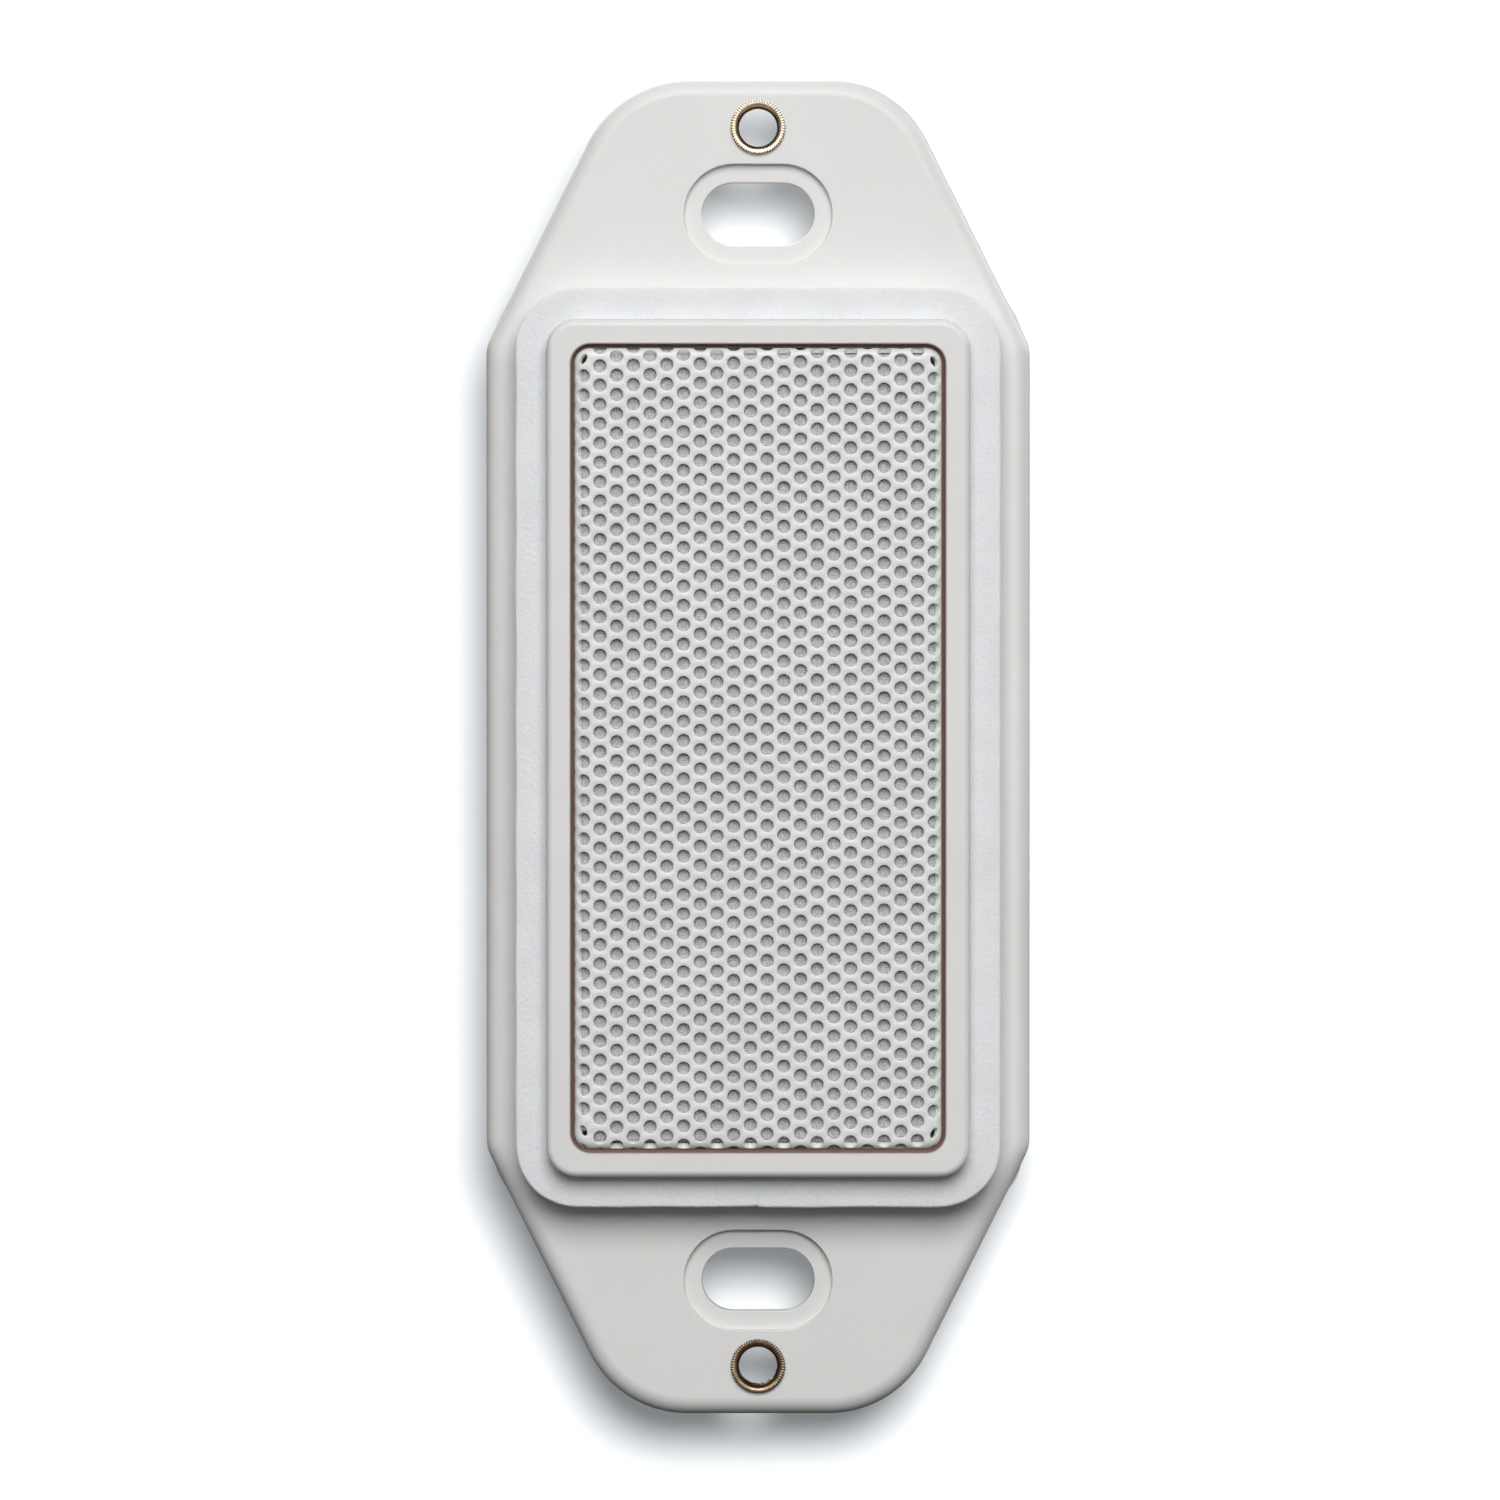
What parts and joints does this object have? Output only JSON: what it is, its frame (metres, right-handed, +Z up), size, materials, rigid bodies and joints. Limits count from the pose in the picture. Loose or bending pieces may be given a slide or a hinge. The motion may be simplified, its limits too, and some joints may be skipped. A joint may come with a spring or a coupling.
{
  "type": "flush wall speaker insert",
  "caption": "Upright wall speaker insert for a decorator plate: strap with screw slots, raised bezel with a perforated grille, foam gasket and rear box.",
  "frame": {"origin": "middle of the strap's back face, halfway between the two plate-screw inserts", "axes": "+Z up along the strap, +X to the right seen from the room, -Y out of the grille towards the room, +Y into the wall"},
  "size_m": [0.0426, 0.0341, 0.1044],
  "materials": {
    "frame_plastic": "warm white moulded plastic, satin",
    "gasket_foam": "white closed-cell foam, matt",
    "grille_paint": "off-white powder coat, satin",
    "scrim_cloth": "light grey acoustic cloth",
    "insert_brass": "turned and knurled brass",
    "seal_foam": "black foam",
    "surround_rubber": "black rubber",
    "basket_steel": "black pressed steel",
    "zinc_steel": "zinc plated",
    "ferrite": "sintered ferrite, ground faces",
    "cone_plastic": "moulded cone",
    "coil_copper": "enamelled copper wire",
    "fibre_board": "phenolic fibre",
    "tinned_metal": "tin plated",
    "cover_plastic": "moulded plastic, fine texture",
    "circuit_board": "green solder mask",
    "capacitor_sleeve": "blue sleeve",
    "block_plastic": "black glass-filled plastic",
    "lead_insulation": "red insulation",
    "damping_fleece": "white polyester fleece"
  },
  "bodies": {
    "speaker": {"mounting_frame": "frame_plastic", "plate_screw_inserts": "insert_brass", "wall_plate_gasket": "gasket_foam", "grille": "grille_paint", "grille_scrim": "scrim_cloth", "driver_screws": "zinc_steel", "cover_gasket": "seal_foam", "rear_cover": "cover_plastic", "cover_screws": "zinc_steel", "connection_board": "circuit_board", "board_screws": "zinc_steel", "crossover_capacitor": "capacitor_sleeve", "terminal_block": "block_plastic", "terminal_contacts": "tinned_metal", "upper_driver_leads": "lead_insulation", "lower_driver_leads": "lead_insulation", "damping_pads": "damping_fleece", "upper_driver_gasket": "seal_foam", "upper_surround": "surround_rubber", "upper_basket": "basket_steel", "upper_top_plate": "zinc_steel", "upper_magnet": "ferrite", "upper_yoke": "zinc_steel", "upper_terminal_board": "fibre_board", "upper_solder_tabs": "tinned_metal", "lower_driver_gasket": "seal_foam", "lower_surround": "surround_rubber", "lower_basket": "basket_steel", "lower_top_plate": "zinc_steel", "lower_magnet": "ferrite", "lower_yoke": "zinc_steel", "lower_terminal_board": "fibre_board", "lower_solder_tabs": "tinned_metal"},
    "upper_diaphragm": {"upper_cone": "cone_plastic", "upper_dust_cap": "cone_plastic", "upper_voice_coil": "coil_copper"},
    "lower_diaphragm": {"lower_cone": "cone_plastic", "lower_dust_cap": "cone_plastic", "lower_voice_coil": "coil_copper"},
    "left_screw": {"left_terminal_screw": "zinc_steel"},
    "left_clamp": {"left_wire_clamp": "zinc_steel"},
    "right_screw": {"right_terminal_screw": "zinc_steel"},
    "right_clamp": {"right_wire_clamp": "zinc_steel"}
  },
  "joints": [
    {"name": "upper_cone_travel", "type": "slide", "parent": "speaker", "child": "upper_diaphragm", "axis": [0, 1, 0], "range_m": [-0.0005, 0.0005], "stiffness_N_per_m": 900},
    {"name": "lower_cone_travel", "type": "slide", "parent": "speaker", "child": "lower_diaphragm", "axis": [0, 1, 0], "range_m": [-0.0005, 0.0005], "stiffness_N_per_m": 900},
    {"name": "left_screw_turn", "type": "hinge", "parent": "speaker", "child": "left_screw", "pos_m": [-0.00254, 0.02388, 0], "axis": [0, -1, 0], "range_deg": [0, 1350]},
    {"name": "left_clamp_lift", "type": "slide", "parent": "speaker", "child": "left_clamp", "axis": [0, 1, 0], "range_m": [0, 0.00187]},
    {"name": "right_screw_turn", "type": "hinge", "parent": "speaker", "child": "right_screw", "pos_m": [0.00254, 0.02388, 0], "axis": [0, -1, 0], "range_deg": [0, 1350]},
    {"name": "right_clamp_lift", "type": "slide", "parent": "speaker", "child": "right_clamp", "axis": [0, 1, 0], "range_m": [0, 0.00187]}
  ],
  "couplings": [
    {"joint": "left_screw_turn", "follows": "left_clamp_lift", "rad_per_m": 12566},
    {"joint": "right_screw_turn", "follows": "right_clamp_lift", "rad_per_m": 12566}
  ]
}
